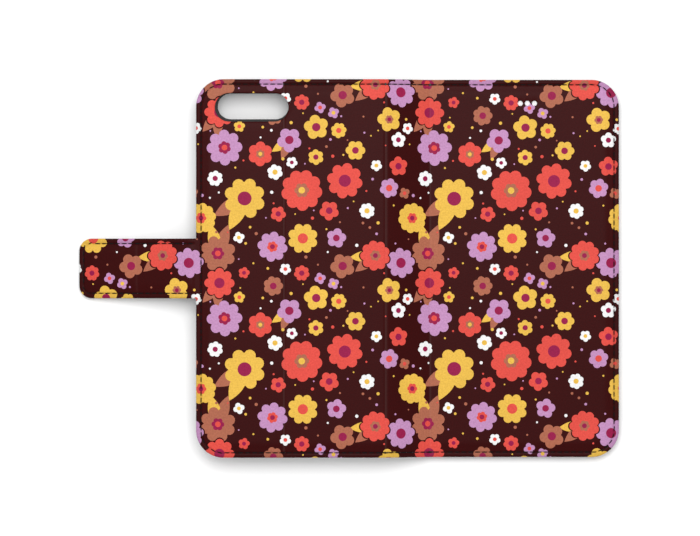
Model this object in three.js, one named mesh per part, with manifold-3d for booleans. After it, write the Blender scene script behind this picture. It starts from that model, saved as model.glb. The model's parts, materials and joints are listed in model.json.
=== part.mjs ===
// Wallet phone case, opened out with its printed outer side up.
// Millimetres, +Z up, +X from the closing strap to the front cover, +Y to the camera end.
// Every leaf is drawn flat in its own group: x runs across the leaf from its fold, y runs along
// the fold, and depth is measured down (-Z) from the printed face. The groups hang on each other
// at the folds, so turning one folds the case.
import * as THREE from 'three';
import { mergeVertices } from 'three/addons/utils/BufferGeometryUtils.js';
import Module from 'manifold-3d';

const wasm = await Module();
wasm.setup();

// Driving dimensions of the opened case
const HEIGHT = 165;
const CORNER = 12;
const STAND_FOLD_X = 38.3;
const BACK_WIDTH = 82.7;
const SPINE_WIDTH = 21;
const COVER_WIDTH = 82.6;

// Layers, from the printed face inwards
const SKIN = 0.8;
const BOARD = 1.0;
const LINING = 0.55;
const GAP = 0.15;
const HEM = 3.6;

// Folds: how far the layers stop short of a fold's axis, which lies on the printed face
const SKIN_SETBACK = 1.0;
const WEB_HALF = 0.8;
const FOLD_CLEARANCE = 0.3;

// Seam: a thread in a shallow groove, parallel to the free edges
const SEAM_INSET = 2.2;
const GROOVE_WIDTH = 0.9;
const GROOVE_DEPTH = 0.5;
const THREAD_WIDTH = 0.6;
const THREAD_TOP = 0.1;
const THREAD_BOTTOM = 0.35;

// Closing strap
const STRAP_WIDTH = 26.1;
const STRAP_LENGTH = 50.2;
const STRAP_CORNER = 5.5;
const STRAP_CORE = 0.6;
const STRAP_AXIS_X = -2.8;
const STRAP_WRAP = 23.8;

// Phone, and the moulded tray that grips it
const PHONE_WIDTH = 77.9;
const PHONE_HEIGHT = 158.2;
const PHONE_THICKNESS = 7.3;
const PHONE_CORNER = 9.5;
const PHONE_PLAY = 0.15;
const TRAY_WALL = 1.1;
const TRAY_FLOOR = 1.2;
const TRAY_LIP = 1.2;
const LIP_REACH = 1.0;
const TRAY_LEFT = 0.5;

// Slots in the tray's walls, above its floor: the buttons' in the long walls, the charging port's
// in the bottom wall
const SLOT_RISE = 1.2;
const SLOT_HEIGHT = 4.8;
const VOLUME_SLOT_Y = 44;
const VOLUME_SLOT_LENGTH = 42;
const POWER_SLOT_Y = 40;
const POWER_SLOT_LENGTH = 16;
const PORT_SLOT_LENGTH = 46;

// Adhesive pad between the tray and the part of the back beside the strap
const PAD = 0.4;
const PAD_LEFT = 4;
const PAD_FOLD_MARGIN = 3;
const PAD_BOTTOM = -72;
const PAD_TOP = 58;
const PAD_CORNER = 3;

// Camera window, a pill through every layer of the back
const CAMERA_LEFT = 8.2;
const CAMERA_RIGHT = 40.3;
const CAMERA_BOTTOM = 64.0;
const CAMERA_TOP = 76.4;
const BOARD_WINDOW_MARGIN = 1.2;

// The tray's own window is a little smaller, and set to the right and up
const TRAY_WINDOW_GROW = -0.6;
const TRAY_WINDOW_SHIFT_X = 0.6;
const TRAY_WINDOW_SHIFT_Y = 0.5;

// Earpiece holes in the cover
const EAR_RADIUS = 1.15;
const EAR_PITCH = 3.1;
const EAR_TOP_MARGIN = 10.3;
const EAR_CENTRE_X = 42.5;
const EAR_SIDES = 16;
const SCREEN_WIDTH = 12;
const SCREEN_HEIGHT = 5;
const SCREEN_THICKNESS = 0.25;

// Pockets inside the cover
const POCKET_SHEET = 0.5;
const CARD_POCKETS = 3;
const CASH_MARGIN = 4;
const CASH_TOP_MARGIN = 18;
const CARD_MARGIN = 9;
const CARD_BOTTOM_MARGIN = 12;
const CARD_TOP = 30;
const CARD_STEP = 20;
const POCKET_CORNER = 3;

// The strap's magnet, the steel plate in the cover that it meets, and the strap's tab in the back
const PLATE_HALF_WIDTH = 6;
const PLATE_HALF_HEIGHT = 9;
const PLATE_FROM_EDGE = 11;
const MAGNET_HALF_WIDTH = 6;
const MAGNET_HALF_HEIGHT = 8;
const PLATE_CORNER = 1;
const TAB_MARGIN = 1;

// How finely arcs are drawn, and how far cutting shapes reach: past a sheet, and past the case
const ARC_STEPS = 4;
const PAST = 1;
const FAR = 400;
const HALF = HEIGHT / 2;
const HALF_STRAP = STRAP_WIDTH / 2;

// Depths worked out from the layers
const leafDepths = (core) => {
  const hem = SKIN + GAP + core + GAP;
  return {
    coreTop: SKIN + GAP,
    coreBottom: SKIN + GAP + core,
    hem,
    liningTop: hem + GAP,
    bottom: hem + GAP + LINING,
  };
};
const panel = leafDepths(BOARD);
const strap = leafDepths(STRAP_CORE);
const spineLiningTop = SKIN + GAP;
const spineBottom = spineLiningTop + LINING;
const trayTop = panel.bottom + GAP + PAD + GAP;
const trayWidth = PHONE_WIDTH + 2 * (PHONE_PLAY + TRAY_WALL);
const trayHeight = PHONE_HEIGHT + 2 * (PHONE_PLAY + TRAY_WALL);
const trayDepth = TRAY_FLOOR + PHONE_THICKNESS + PHONE_PLAY + TRAY_LIP;
const backFaceHeight = trayTop + trayDepth;
const coverFaceHeight = panel.bottom + (CARD_POCKETS + 1) * (POCKET_SHEET + GAP);

// The opened case lies on the tray's rim, the pockets and the strap's tip, so the spine and the
// strap slope down from the back.
const spineSlope = Math.asin((backFaceHeight - coverFaceHeight) / SPINE_WIDTH);
const strapSlope = Math.asin(backFaceHeight / Math.hypot(STRAP_LENGTH, strap.bottom))
  - Math.atan2(strap.bottom, STRAP_LENGTH);

const printedLeather = new THREE.MeshStandardMaterial({ color: 0x3d1819, roughness: 0.55, metalness: 0 });
const liningLeather = new THREE.MeshStandardMaterial({ color: 0x1c1a1a, roughness: 0.7, metalness: 0 });
const greyboard = new THREE.MeshStandardMaterial({ color: 0x8d8980, roughness: 0.95, metalness: 0 });
const stiffener = new THREE.MeshStandardMaterial({ color: 0xd8d6cf, roughness: 0.6, metalness: 0 });
const threadBlack = new THREE.MeshStandardMaterial({ color: 0x17100f, roughness: 0.85, metalness: 0 });
const trayRubber = new THREE.MeshStandardMaterial({ color: 0x101012, roughness: 0.5, metalness: 0 });
const adhesive = new THREE.MeshStandardMaterial({ color: 0xe4e2da, roughness: 0.8, metalness: 0 });
const screenMesh = new THREE.MeshStandardMaterial({ color: 0xd9d9d9, roughness: 0.9, metalness: 0 });
const magnetSteel = new THREE.MeshStandardMaterial({ color: 0xa7a9ab, roughness: 0.35, metalness: 1 });

// A closed three.js geometry as a solid that can be joined and cut
function solid(geometry) {
  geometry.deleteAttribute('normal');
  geometry.deleteAttribute('uv');
  const merged = mergeVertices(geometry);
  return new wasm.Manifold(new wasm.Mesh({
    numProp: 3,
    vertProperties: Float32Array.from(merged.attributes.position.array),
    triVerts: Uint32Array.from(merged.index.array),
  }));
}

function mesh(name, body, material) {
  const cut = body.getMesh();
  const geometry = new THREE.BufferGeometry();
  geometry.setAttribute('position', new THREE.BufferAttribute(cut.vertProperties, 3));
  geometry.setIndex(new THREE.BufferAttribute(cut.triVerts, 1));
  geometry.computeVertexNormals();
  const item = new THREE.Mesh(geometry, material);
  item.name = name;
  return item;
}

// A rectangle whose left and right corners are rounded by their own radii
function rounded(x0, x1, y0, y1, leftRadius, rightRadius) {
  const shape = new THREE.Shape();
  const quarter = Math.PI / 2;
  const corner = (cx, cy, radius, start) => {
    if (radius > 0) {
      shape.absarc(cx, cy, radius, start, start + quarter, false);
    } else {
      shape.lineTo(cx, cy);
    }
  };
  shape.moveTo(x0 + leftRadius, y0);
  shape.lineTo(x1 - rightRadius, y0);
  corner(x1 - rightRadius, y0 + rightRadius, rightRadius, -quarter);
  corner(x1 - rightRadius, y1 - rightRadius, rightRadius, 0);
  corner(x0 + leftRadius, y1 - leftRadius, leftRadius, quarter);
  corner(x0 + leftRadius, y0 + leftRadius, leftRadius, 2 * quarter);
  return shape;
}

// A flat sheet between two depths under the printed face
function sheet(shape, top, bottom) {
  const geometry = new THREE.ExtrudeGeometry(shape, {
    depth: bottom - top,
    bevelEnabled: false,
    curveSegments: ARC_STEPS,
  });
  geometry.translate(0, 0, -bottom);
  return solid(geometry);
}

function block(x0, x1, y0, y1, top, bottom) {
  const geometry = new THREE.BoxGeometry(x1 - x0, y1 - y0, bottom - top);
  geometry.translate((x0 + x1) / 2, (y0 + y1) / 2, -(top + bottom) / 2);
  return solid(geometry);
}

// A leaf is described by its ends: x, the corner radius of a free end (null at a fold), and how
// far the layers under the skin stop short of the fold.
function outline(leaf, inset, endInset) {
  const x0 = leaf.left.radius === null ? leaf.left.x + endInset.left : leaf.left.x + inset;
  const x1 = leaf.right.radius === null ? leaf.right.x - endInset.right : leaf.right.x - inset;
  const radius = (end) => (end.radius === null ? 0 : Math.max(end.radius - inset, 0));
  return rounded(x0, x1, -leaf.half + inset, leaf.half - inset, radius(leaf.left), radius(leaf.right));
}

const skinInset = { left: SKIN_SETBACK, right: SKIN_SETBACK };
const pastFold = { left: -SKIN_SETBACK, right: -SKIN_SETBACK };
const innerInset = (leaf) => ({ left: leaf.left.inner, right: leaf.right.inner });

// The seam's band between two insets, ending where the skin ends
function seamBand(leaf, width, top, bottom) {
  const outer = sheet(outline(leaf, SEAM_INSET - width / 2, pastFold), top, bottom);
  const beyond = { left: -2 * SKIN_SETBACK, right: -2 * SKIN_SETBACK };
  return outer.subtract(sheet(outline(leaf, SEAM_INSET + width / 2, beyond), top - PAST, bottom + PAST));
}

// Printed skin: a thin sheet with a thick turned hem along its free edges, hollow for the core
function skinBody(leaf, depths) {
  const whole = sheet(outline(leaf, 0, skinInset), 0, depths.hem);
  const hollow = sheet(outline(leaf, HEM, pastFold), SKIN, depths.hem + PAST);
  let body = whole.subtract(hollow);
  for (const [end, from, to] of [
    [leaf.left, leaf.left.x - FAR, leaf.left.x + leaf.left.inner],
    [leaf.right, leaf.right.x - leaf.right.inner, leaf.right.x + FAR],
  ]) {
    if (end.radius === null) {
      body = body.subtract(block(from, to, -FAR, FAR, SKIN, depths.hem + PAST));
    }
  }
  return body.subtract(seamBand(leaf, GROOVE_WIDTH, -PAST, GROOVE_DEPTH));
}

function coreBody(leaf, depths) {
  const inset = {
    left: leaf.left.inner + 2 * GAP,
    right: leaf.right.inner + 2 * GAP,
  };
  return sheet(outline(leaf, HEM + 2 * GAP, inset), depths.coreTop, depths.coreBottom);
}

function liningBody(leaf, top, bottom) {
  return sheet(outline(leaf, 0, innerInset(leaf)), top, bottom);
}

// The thread pieces of a leaf: one round the free edges, or one along each edge between folds
function threadMeshes(leaf, name) {
  const keep = block(
    leaf.left.x + (leaf.left.radius === null ? SKIN_SETBACK : 0),
    leaf.right.x - (leaf.right.radius === null ? SKIN_SETBACK : 0),
    -leaf.half, leaf.half, 0, SKIN,
  );
  const band = seamBand(leaf, THREAD_WIDTH, THREAD_TOP, THREAD_BOTTOM).intersect(keep);
  if (leaf.left.radius !== null || leaf.right.radius !== null) {
    return [mesh(`${name}_thread`, band, threadBlack)];
  }
  const upperHalf = block(-FAR, FAR, 0, FAR, -PAST, SKIN);
  return [
    mesh(`${name}_thread_top`, band.intersect(upperHalf), threadBlack),
    mesh(`${name}_thread_bottom`, band.subtract(upperHalf), threadBlack),
  ];
}

// The thin leather that bends at a fold: half on the parent leaf and half on the child, which
// turns towards the lining by the fold angle. Positive x is the child's side.
function foldWeb(name, angle, parentReach, y0, y1, side) {
  const along = new THREE.Vector2(Math.cos(angle), -Math.sin(angle));
  const inward = new THREE.Vector2(-Math.sin(angle), -Math.cos(angle));
  const end = along.clone().multiplyScalar(WEB_HALF);
  const middle = (SKIN - GAP) / Math.cos(angle / 2);
  const section = [
    new THREE.Vector2(-parentReach, 0),
    new THREE.Vector2(-parentReach, -(SKIN - GAP)),
    new THREE.Vector2(-middle * Math.sin(angle / 2), -middle * Math.cos(angle / 2)),
    end.clone().addScaledVector(inward, SKIN - GAP),
    end,
    new THREE.Vector2(0, 0),
  ];
  const shape = new THREE.Shape(section.map((point) => new THREE.Vector2(side * point.x, point.y)));
  const geometry = new THREE.ExtrudeGeometry(shape, { depth: y1 - y0, bevelEnabled: false });
  geometry.rotateX(Math.PI / 2);
  geometry.translate(0, y1, 0);
  return mesh(name, solid(geometry), printedLeather);
}

function cameraPill(grow, shiftX, shiftY, top, bottom) {
  const radius = (CAMERA_TOP - CAMERA_BOTTOM) / 2 + grow;
  const shape = rounded(
    CAMERA_LEFT - grow + shiftX, CAMERA_RIGHT + grow + shiftX,
    CAMERA_BOTTOM - grow + shiftY, CAMERA_TOP + grow + shiftY, radius, radius,
  );
  return sheet(shape, top, bottom);
}

function backOuter() {
  const leaf = {
    half: HALF,
    left: { x: 0, radius: CORNER, inner: 0 },
    right: { x: STAND_FOLD_X, radius: null, inner: SKIN_SETBACK },
  };
  const window = cameraPill(0, 0, 0, -PAST, panel.bottom + PAST);
  const boardWindow = cameraPill(BOARD_WINDOW_MARGIN, 0, 0, -PAST, panel.bottom + PAST);
  const slotTop = panel.coreTop;
  const slotBottom = panel.coreTop + STRAP_CORE + GAP;
  const tabHalf = HALF_STRAP - TAB_MARGIN;
  const tabSlot = block(-PAST, HEM + PAST, -tabHalf - GAP, tabHalf + GAP, slotTop, slotBottom);
  const tab = block(GAP, HEM - GAP, -tabHalf, tabHalf, slotTop + GAP / 2, slotBottom - GAP / 2);
  const skin = skinBody(leaf, panel).subtract(window).subtract(tabSlot);
  const lining = liningBody(leaf, panel.liningTop, panel.bottom).subtract(window);
  const group = new THREE.Group();
  group.add(
    mesh('back_outer_skin', skin, printedLeather),
    mesh('back_outer_board', coreBody(leaf, panel).subtract(boardWindow), greyboard),
    mesh('back_outer_lining', lining, liningLeather),
    ...threadMeshes(leaf, 'back_outer'),
    mesh('strap_anchor_tab', tab, stiffener),
  );
  return group;
}

// A slot with round ends through a long wall of the tray, whose outer face is at wallX
function wallSlot(centreY, length, depthFrom, depthTo, wallX) {
  const shape = new THREE.Shape();
  const radius = (depthTo - depthFrom) / 2;
  const middle = -(depthFrom + depthTo) / 2;
  const reach = TRAY_WALL + LIP_REACH + PAST;
  shape.absarc(length / 2 - radius, 0, radius, -Math.PI / 2, Math.PI / 2, false);
  shape.absarc(-length / 2 + radius, 0, radius, Math.PI / 2, 1.5 * Math.PI, false);
  const geometry = new THREE.ExtrudeGeometry(shape, {
    depth: 2 * reach,
    bevelEnabled: false,
    curveSegments: ARC_STEPS,
  });
  geometry.rotateX(Math.PI / 2);
  geometry.rotateZ(Math.PI / 2);
  geometry.translate(wallX - reach, centreY, middle);
  return solid(geometry);
}

function phoneTray() {
  const right = TRAY_LEFT + trayWidth;
  const half = trayHeight / 2;
  const outerCorner = PHONE_CORNER + TRAY_WALL;
  const box = (inset, radius) => rounded(
    TRAY_LEFT + inset, right - inset, -half + inset, half - inset, radius, radius,
  );
  const middle = TRAY_LEFT + trayWidth / 2;
  const floorBottom = trayTop + TRAY_FLOOR;
  const rim = trayTop + trayDepth;
  const lipTop = rim - TRAY_LIP;
  const slotTop = floorBottom + SLOT_RISE;
  const slotBottom = slotTop + SLOT_HEIGHT;
  const mouth = box(TRAY_WALL + LIP_REACH, PHONE_CORNER - LIP_REACH);
  const portReach = TRAY_WALL + LIP_REACH + PAST;
  const body = sheet(box(0, outerCorner), trayTop, rim)
    .subtract(sheet(box(TRAY_WALL, PHONE_CORNER), floorBottom, lipTop))
    .subtract(sheet(mouth, lipTop - PAST, rim + PAST))
    .subtract(cameraPill(
      TRAY_WINDOW_GROW, TRAY_WINDOW_SHIFT_X, TRAY_WINDOW_SHIFT_Y, trayTop - PAST, floorBottom + PAST,
    ))
    .subtract(wallSlot(VOLUME_SLOT_Y, VOLUME_SLOT_LENGTH, slotTop, slotBottom, right))
    .subtract(wallSlot(POWER_SLOT_Y, POWER_SLOT_LENGTH, slotTop, slotBottom, TRAY_LEFT))
    .subtract(block(
      middle - PORT_SLOT_LENGTH / 2, middle + PORT_SLOT_LENGTH / 2,
      -half - portReach, -half + portReach, slotTop, slotBottom,
    ));
  const padTop = panel.bottom + GAP;
  const pad = sheet(
    rounded(PAD_LEFT, STAND_FOLD_X - PAD_FOLD_MARGIN, PAD_BOTTOM, PAD_TOP, PAD_CORNER, PAD_CORNER),
    padTop, padTop + PAD,
  );
  return [
    mesh('phone_tray', body, trayRubber),
    mesh('tray_adhesive_pad', pad, adhesive),
  ];
}

function backInner() {
  const width = BACK_WIDTH - STAND_FOLD_X;
  const leaf = {
    half: HALF,
    left: { x: 0, radius: null, inner: SKIN_SETBACK },
    right: { x: width, radius: null, inner: spineBottom + FOLD_CLEARANCE },
  };
  const window = cameraPill(0, -STAND_FOLD_X, 0, -PAST, panel.bottom + PAST);
  const boardWindow = cameraPill(BOARD_WINDOW_MARGIN, -STAND_FOLD_X, 0, -PAST, panel.bottom + PAST);
  const lining = liningBody(leaf, panel.liningTop, panel.bottom).subtract(window);
  const group = new THREE.Group();
  group.position.x = STAND_FOLD_X;
  group.add(
    mesh('back_inner_skin', skinBody(leaf, panel).subtract(window), printedLeather),
    mesh('back_inner_board', coreBody(leaf, panel).subtract(boardWindow), greyboard),
    mesh('back_inner_lining', lining, liningLeather),
    ...threadMeshes(leaf, 'back_inner'),
  );
  return group;
}

function spineLeaf() {
  const leaf = {
    half: HALF,
    left: { x: 0, radius: null, inner: SKIN_SETBACK },
    right: { x: SPINE_WIDTH, radius: null, inner: SKIN_SETBACK },
  };
  const skin = sheet(outline(leaf, 0, skinInset), 0, SKIN)
    .subtract(seamBand(leaf, GROOVE_WIDTH, -PAST, GROOVE_DEPTH));
  const group = new THREE.Group();
  group.position.x = BACK_WIDTH - STAND_FOLD_X;
  group.rotation.y = spineSlope;
  group.add(
    mesh('spine_skin', skin, printedLeather),
    mesh('spine_lining', liningBody(leaf, spineLiningTop, spineBottom), liningLeather),
    ...threadMeshes(leaf, 'spine'),
  );
  return group;
}

// The cash pocket covers the leaf, and each card pocket lies on the one before, a step lower
function pockets() {
  const pocket = (name, layer, margin, bottomMargin, top) => {
    const depth = panel.bottom + GAP + layer * (POCKET_SHEET + GAP);
    const shape = rounded(
      margin, COVER_WIDTH - margin, -HALF + bottomMargin, top, POCKET_CORNER, POCKET_CORNER,
    );
    return mesh(name, sheet(shape, depth, depth + POCKET_SHEET), liningLeather);
  };
  const made = [pocket('cash_pocket', 0, CASH_MARGIN, CASH_MARGIN, HALF - CASH_TOP_MARGIN)];
  for (let i = 1; i <= CARD_POCKETS; i += 1) {
    const top = CARD_TOP - (i - 1) * CARD_STEP;
    made.push(pocket(`card_pocket_${i}`, i, CARD_MARGIN, CARD_BOTTOM_MARGIN, top));
  }
  return made;
}

// A thin metal plate in the core's layer, and the block that cuts its window in the core
function plateBody(x, halfWidth, halfHeight, depths) {
  const shape = rounded(x - halfWidth, x + halfWidth, -halfHeight, halfHeight, PLATE_CORNER, PLATE_CORNER);
  return sheet(shape, depths.coreTop, depths.coreBottom);
}

function plateBlock(x, halfWidth, halfHeight, depths) {
  const halfX = halfWidth + 2 * GAP;
  const halfY = halfHeight + 2 * GAP;
  return block(x - halfX, x + halfX, -halfY, halfY, 0, depths.bottom);
}

function coverLeaf() {
  const leaf = {
    half: HALF,
    left: { x: 0, radius: null, inner: spineBottom + FOLD_CLEARANCE },
    right: { x: COVER_WIDTH, radius: CORNER, inner: 0 },
  };
  const earY = HALF - EAR_TOP_MARGIN;
  let skin = skinBody(leaf, panel);
  let board = coreBody(leaf, panel);
  let lining = liningBody(leaf, panel.liningTop, panel.bottom);
  for (const step of [-1, 0, 1]) {
    const hole = new THREE.CylinderGeometry(EAR_RADIUS, EAR_RADIUS, FAR, EAR_SIDES);
    hole.rotateX(Math.PI / 2);
    hole.translate(EAR_CENTRE_X + step * EAR_PITCH, earY, 0);
    const cutter = solid(hole);
    skin = skin.subtract(cutter);
    lining = lining.subtract(cutter);
  }
  // A pale acoustic screen lies behind the earpiece holes, in a window of the board.
  const screenBox = (grow, top, bottom) => block(
    EAR_CENTRE_X - SCREEN_WIDTH / 2 - grow, EAR_CENTRE_X + SCREEN_WIDTH / 2 + grow,
    earY - SCREEN_HEIGHT / 2 - grow, earY + SCREEN_HEIGHT / 2 + grow, top, bottom,
  );
  board = board.subtract(screenBox(2 * GAP, 0, panel.bottom));
  const screen = screenBox(0, panel.coreTop, panel.coreTop + SCREEN_THICKNESS);
  // The steel plate that the strap's magnet meets sits in a window of the board.
  const plateX = COVER_WIDTH - PLATE_FROM_EDGE;
  board = board.subtract(plateBlock(plateX, PLATE_HALF_WIDTH, PLATE_HALF_HEIGHT, panel));
  const plate = plateBody(plateX, PLATE_HALF_WIDTH, PLATE_HALF_HEIGHT, panel);
  const group = new THREE.Group();
  group.position.x = SPINE_WIDTH;
  group.rotation.y = -spineSlope;
  group.add(
    mesh('cover_skin', skin, printedLeather),
    mesh('cover_board', board, greyboard),
    mesh('cover_lining', lining, liningLeather),
    ...threadMeshes(leaf, 'cover'),
    mesh('cover_steel_plate', plate, magnetSteel),
    mesh('earpiece_screen', screen, screenMesh),
    ...pockets(),
  );
  return group;
}

function strapRoot() {
  const leaf = {
    half: HALF_STRAP,
    left: { x: -STRAP_WRAP, radius: null, inner: strap.bottom + FOLD_CLEARANCE },
    right: { x: 0, radius: null, inner: SKIN_SETBACK },
  };
  const group = new THREE.Group();
  group.position.x = STRAP_AXIS_X;
  group.rotation.y = -strapSlope;
  group.add(
    mesh('strap_root_skin', skinBody(leaf, strap), printedLeather),
    mesh('strap_root_core', coreBody(leaf, strap), stiffener),
    mesh('strap_root_lining', liningBody(leaf, strap.liningTop, strap.bottom), liningLeather),
    ...threadMeshes(leaf, 'strap_root'),
  );
  return group;
}

function strapTip() {
  const length = STRAP_LENGTH - STRAP_WRAP;
  const leaf = {
    half: HALF_STRAP,
    left: { x: -length, radius: STRAP_CORNER, inner: 0 },
    right: { x: 0, radius: null, inner: SKIN_SETBACK },
  };
  const window = plateBlock(-length / 2, MAGNET_HALF_WIDTH, MAGNET_HALF_HEIGHT, strap);
  const magnet = plateBody(-length / 2, MAGNET_HALF_WIDTH, MAGNET_HALF_HEIGHT, strap);
  const group = new THREE.Group();
  group.position.x = -STRAP_WRAP;
  group.add(
    mesh('strap_tip_skin', skinBody(leaf, strap), printedLeather),
    mesh('strap_tip_core', coreBody(leaf, strap).subtract(window), stiffener),
    mesh('strap_tip_lining', liningBody(leaf, strap.liningTop, strap.bottom), liningLeather),
    mesh('strap_magnet', magnet, magnetSteel),
    ...threadMeshes(leaf, 'strap_tip'),
  );
  return group;
}

// Assembly: each leaf's group hangs on its parent's at the fold between them
const backOuterGroup = backOuter();
const backInnerGroup = backInner();
const spineGroup = spineLeaf();
const coverGroup = coverLeaf();
const strapRootGroup = strapRoot();
const strapTipGroup = strapTip();

const standWebLower = foldWeb('stand_fold_web', 0, WEB_HALF, -HALF, CAMERA_BOTTOM - GAP, 1);
const standWebUpper = foldWeb('stand_fold_web_top', 0, WEB_HALF, CAMERA_TOP + GAP, HALF, 1);
standWebLower.position.x = STAND_FOLD_X;
standWebUpper.position.x = STAND_FOLD_X;
const spineBackWeb = foldWeb('spine_back_fold_web', spineSlope, WEB_HALF, -HALF, HALF, 1);
spineBackWeb.position.x = BACK_WIDTH - STAND_FOLD_X;
const spineFrontWeb = foldWeb('spine_front_fold_web', -spineSlope, WEB_HALF, -HALF, HALF, 1);
spineFrontWeb.position.x = SPINE_WIDTH;
const strapRootWeb = foldWeb(
  'strap_fold_web', strapSlope, -STRAP_AXIS_X - 2 * GAP, -HALF_STRAP, HALF_STRAP, -1,
);
strapRootWeb.position.x = STRAP_AXIS_X;
const strapTipWeb = foldWeb('strap_tip_fold_web', 0, WEB_HALF, -HALF_STRAP, HALF_STRAP, -1);
strapTipWeb.position.x = -STRAP_WRAP;

backOuterGroup.add(standWebLower, standWebUpper, strapRootWeb, ...phoneTray());
backOuterGroup.add(backInnerGroup, strapRootGroup);
backInnerGroup.add(spineBackWeb, spineGroup);
spineGroup.add(spineFrontWeb, coverGroup);
strapRootGroup.add(strapTipWeb, strapTipGroup);

// The origin is at the bottom centre of the opened case's box.
const phoneCase = new THREE.Group();
phoneCase.add(backOuterGroup);
backOuterGroup.position.z = backFaceHeight;
phoneCase.updateMatrixWorld(true);
const extent = new THREE.Box3().setFromObject(phoneCase, true);
backOuterGroup.position.x -= (extent.min.x + extent.max.x) / 2;
backOuterGroup.position.z -= extent.min.z;

export default phoneCase;
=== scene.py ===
"""Looks of the wallet phone case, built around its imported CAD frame.

The printed skin, the seams, the linings and the pockets are drawn flat, in millimetres, and laid
on the leaves by a Strip, which follows the folded case at rest and gives points in metres.
"""
import json
import math
import random

import bmesh
import bpy
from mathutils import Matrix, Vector
from mathutils.geometry import delaunay_2d_cdt
from mathutils.kdtree import KDTree


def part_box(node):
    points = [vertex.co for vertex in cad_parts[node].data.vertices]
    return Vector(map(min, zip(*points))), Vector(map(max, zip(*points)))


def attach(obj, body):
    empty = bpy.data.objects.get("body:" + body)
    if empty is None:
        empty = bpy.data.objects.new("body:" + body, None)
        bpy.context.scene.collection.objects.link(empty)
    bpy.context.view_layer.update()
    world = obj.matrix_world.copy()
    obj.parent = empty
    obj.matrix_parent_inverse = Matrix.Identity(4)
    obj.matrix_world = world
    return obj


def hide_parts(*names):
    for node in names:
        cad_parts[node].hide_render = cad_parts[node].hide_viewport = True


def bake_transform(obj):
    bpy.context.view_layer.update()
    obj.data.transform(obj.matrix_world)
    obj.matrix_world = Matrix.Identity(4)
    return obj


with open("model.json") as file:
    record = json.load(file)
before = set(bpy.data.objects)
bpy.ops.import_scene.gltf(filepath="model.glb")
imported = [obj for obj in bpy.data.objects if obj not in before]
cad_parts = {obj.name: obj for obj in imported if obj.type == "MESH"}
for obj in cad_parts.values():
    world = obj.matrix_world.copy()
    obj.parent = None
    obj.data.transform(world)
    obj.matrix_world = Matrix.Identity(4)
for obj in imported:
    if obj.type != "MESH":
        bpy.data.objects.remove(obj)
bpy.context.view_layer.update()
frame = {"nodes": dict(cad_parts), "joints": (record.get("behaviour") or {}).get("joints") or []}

MM = 0.001

# ---------------------------------------------------------------- sizes from the frame, in mm
JOINTS = {joint["name"]: [value / MM for value in joint["pos_m"]] for joint in frame["joints"]}


def box_mm(node):
    low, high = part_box(node)
    return low / MM, high / MM


skin_low, skin_high = box_mm("back_outer_skin")
cover_high = box_mm("cover_skin")[1]
LEFT = skin_low.x
FACE_Z = JOINTS["stand_fold"][2]
HALF = skin_high.y
STAND_U = JOINTS["stand_fold"][0] - LEFT
BACK_U = JOINTS["spine_back_fold"][0] - LEFT
SPINE_DROP = FACE_Z - JOINTS["spine_front_fold"][2]
SPINE_RUN = JOINTS["spine_front_fold"][0] - JOINTS["spine_back_fold"][0]
SPINE_SLOPE = math.atan2(SPINE_DROP, SPINE_RUN)
FRONT_U = BACK_U + math.hypot(SPINE_DROP, SPINE_RUN)
WIDTH = FRONT_U + cover_high.x - JOINTS["spine_front_fold"][0]
CORNER = 12.0
HEM_DEPTH = skin_high.z - skin_low.z
LINING_TOP = FACE_Z - box_mm("back_outer_lining")[1].z
LINING_THICKNESS = box_mm("back_outer_lining")[1].z - box_mm("back_outer_lining")[0].z
COVER_Z = cover_high.z

STRAP_FOLD_U = LEFT - JOINTS["strap_fold"][0]
STRAP_WRAP = math.hypot(
    JOINTS["strap_fold"][0] - JOINTS["strap_tip_fold"][0],
    JOINTS["strap_fold"][2] - JOINTS["strap_tip_fold"][2],
)
STRAP_SLOPE = math.atan2(
    JOINTS["strap_fold"][2] - JOINTS["strap_tip_fold"][2],
    JOINTS["strap_fold"][0] - JOINTS["strap_tip_fold"][0],
)
STRAP_TIP_U = STRAP_FOLD_U + STRAP_WRAP
tip_low, tip_high = box_mm("strap_tip_skin")
STRAP_END_U = STRAP_FOLD_U + (JOINTS["strap_fold"][0] - tip_low.x) / math.cos(STRAP_SLOPE)
STRAP_HALF = tip_high.y
STRAP_CORNER = 5.5
STRAP_HEM = 1.7
STRAP_LINING_TOP = 1.85
SKIN_THICKNESS = 0.8
THIN_LINING_TOP = 0.95
HEM_WIDTH = 3.6
LINING_INSET = 0.9
STRAP_HIDDEN = 60.0
STRAP_HOLES_FROM = 0.8
STRAP_SEAM_FROM = 1.4
STRAP_LINING_FROM = 0.35

CAMERA = {"x0": 8.2, "x1": 40.3, "y0": 64.0, "y1": 76.4}
EAR_RADIUS = 1.15
EAR_PITCH = 3.1
EAR_U = FRONT_U + 42.5
EAR_V = HALF - 10.3

SEAM_INSET = 2.2
STITCH_PITCH = 3.0
THREAD_RADIUS = 0.27
BLEND_REACH = 2.4
TRAY_WINDOW = {"grow": -0.6, "x": 0.6, "y": 0.5}


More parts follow.
